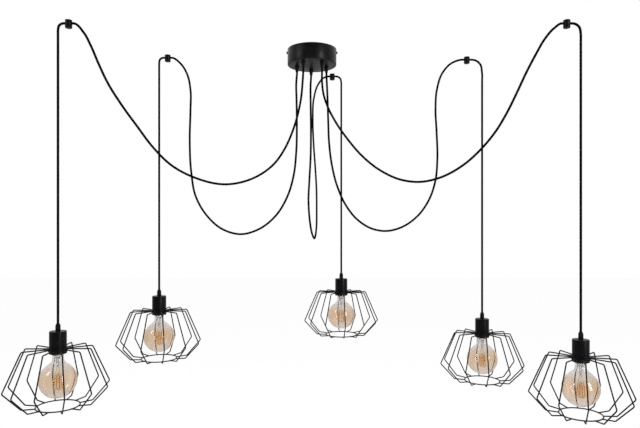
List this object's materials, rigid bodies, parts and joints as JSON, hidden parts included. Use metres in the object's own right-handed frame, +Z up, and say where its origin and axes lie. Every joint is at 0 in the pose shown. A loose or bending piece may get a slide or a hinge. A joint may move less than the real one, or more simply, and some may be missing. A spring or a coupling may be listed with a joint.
{
  "type": "cluster pendant light",
  "caption": "Ceiling canopy feeding swagged textile cords to ceiling hooks, each dropping to a wire diamond cage shade with a globe filament bulb.",
  "frame": {"origin": "middle of the canopy bracket's ceiling face", "axes": "+Z up into the ceiling, +X along the longest side, to the right as the picture shows it, +Y away from the viewer"},
  "size_m": [1.6391, 0.7739, 1.0407],
  "materials": {
    "black_paint": "satin black powder coat",
    "zinc_steel": "zinc-plated strap steel",
    "black_plastic": "moulded, slightly satin",
    "white_plastic": "moulded polyamide",
    "textile_cord": "braided textile over round cable",
    "black_wire": "powder-coated steel wire",
    "amber_glass": "amber-tinted clear glass",
    "nickel_cap": "nickel-plated screw cap"
  },
  "bodies": {
    "root": {"canopy_cup": "black_paint", "ceiling_bracket": "zinc_steel", "terminal_block": "white_plastic", "side_screw_left": "black_paint", "side_screw_right": "black_paint", "cord_gland_1": "black_plastic", "cord_swag_1": "textile_cord", "hook_base_1": "black_plastic", "hook_cap_1": "black_plastic", "cord_gland_2": "black_plastic", "cord_swag_2": "textile_cord", "hook_base_2": "black_plastic", "hook_cap_2": "black_plastic", "cord_gland_3": "black_plastic", "cord_swag_3": "textile_cord", "hook_base_3": "black_plastic", "hook_cap_3": "black_plastic", "cord_gland_4": "black_plastic", "cord_swag_4": "textile_cord", "hook_base_4": "black_plastic", "hook_cap_4": "black_plastic", "cord_gland_5": "black_plastic", "cord_swag_5": "textile_cord", "hook_base_5": "black_plastic", "hook_cap_5": "black_plastic"},
    "drop_1": {"cord_drop_1": "textile_cord"},
    "lamp_1": {"cord_grip_1": "black_plastic", "lampholder_1": "black_plastic", "ring_nut_1": "black_plastic", "cage_1": "black_wire"},
    "bulb_1": {"bulb_glass_1": "amber_glass", "bulb_core_1": "nickel_cap"},
    "drop_2": {"cord_drop_2": "textile_cord"},
    "lamp_2": {"cord_grip_2": "black_plastic", "lampholder_2": "black_plastic", "ring_nut_2": "black_plastic", "cage_2": "black_wire"},
    "bulb_2": {"bulb_glass_2": "amber_glass", "bulb_core_2": "nickel_cap"},
    "drop_3": {"cord_drop_3": "textile_cord"},
    "lamp_3": {"cord_grip_3": "black_plastic", "lampholder_3": "black_plastic", "ring_nut_3": "black_plastic", "cage_3": "black_wire"},
    "bulb_3": {"bulb_glass_3": "amber_glass", "bulb_core_3": "nickel_cap"},
    "drop_4": {"cord_drop_4": "textile_cord"},
    "lamp_4": {"cord_grip_4": "black_plastic", "lampholder_4": "black_plastic", "ring_nut_4": "black_plastic", "cage_4": "black_wire"},
    "bulb_4": {"bulb_glass_4": "amber_glass", "bulb_core_4": "nickel_cap"},
    "drop_5": {"cord_drop_5": "textile_cord"},
    "lamp_5": {"cord_grip_5": "black_plastic", "lampholder_5": "black_plastic", "ring_nut_5": "black_plastic", "cage_5": "black_wire"},
    "bulb_5": {"bulb_glass_5": "amber_glass", "bulb_core_5": "nickel_cap"}
  },
  "joints": [
    {"name": "lamp_swing_1", "type": "hinge", "parent": "root", "child": "drop_1", "pos_m": [-0.638, -0.245, -0.0084], "axis": [1, 0, 0], "range_deg": [-20, 5]},
    {"name": "lamp_turn_1", "type": "hinge", "parent": "drop_1", "child": "lamp_1", "pos_m": [-0.666, -0.245, -0.7997], "axis": [0, 0, 1], "range_deg": [-180, 180]},
    {"name": "bulb_out_1", "type": "slide", "parent": "lamp_1", "child": "bulb_1", "axis": [0, 0, -1], "range_m": [0, 0.175]},
    {"name": "lamp_swing_2", "type": "hinge", "parent": "root", "child": "drop_2", "pos_m": [-0.457, 0.05, -0.0084], "axis": [1, 0, 0], "range_deg": [-5, 20]},
    {"name": "lamp_turn_2", "type": "hinge", "parent": "drop_2", "child": "lamp_2", "pos_m": [-0.484, 0.05, -0.7417], "axis": [0, 0, 1], "range_deg": [-180, 180]},
    {"name": "bulb_out_2", "type": "slide", "parent": "lamp_2", "child": "bulb_2", "axis": [0, 0, -1], "range_m": [0, 0.175]},
    {"name": "lamp_swing_3", "type": "hinge", "parent": "root", "child": "drop_3", "pos_m": [0.068, 0.265, -0.0084], "axis": [1, 0, 0], "range_deg": [-20, 20]},
    {"name": "lamp_turn_3", "type": "hinge", "parent": "drop_3", "child": "lamp_3", "pos_m": [0.1, 0.265, -0.7057], "axis": [0, 0, 1], "range_deg": [-180, 180]},
    {"name": "bulb_out_3", "type": "slide", "parent": "lamp_3", "child": "bulb_3", "axis": [0, 0, -1], "range_m": [0, 0.175]},
    {"name": "lamp_swing_4", "type": "hinge", "parent": "root", "child": "drop_4", "pos_m": [0.494, 0.07, -0.0084], "axis": [1, 0, 0], "range_deg": [-5, 20]},
    {"name": "lamp_turn_4", "type": "hinge", "parent": "drop_4", "child": "lamp_4", "pos_m": [0.543, 0.07, -0.8167], "axis": [0, 0, 1], "range_deg": [-180, 180]},
    {"name": "bulb_out_4", "type": "slide", "parent": "lamp_4", "child": "bulb_4", "axis": [0, 0, -1], "range_m": [0, 0.175]},
    {"name": "lamp_swing_5", "type": "hinge", "parent": "root", "child": "drop_5", "pos_m": [0.675, -0.245, -0.0084], "axis": [1, 0, 0], "range_deg": [-20, 5]},
    {"name": "lamp_turn_5", "type": "hinge", "parent": "drop_5", "child": "lamp_5", "pos_m": [0.712, -0.245, -0.8217], "axis": [0, 0, 1], "range_deg": [-180, 180]},
    {"name": "bulb_out_5", "type": "slide", "parent": "lamp_5", "child": "bulb_5", "axis": [0, 0, -1], "range_m": [0, 0.175]}
  ]
}
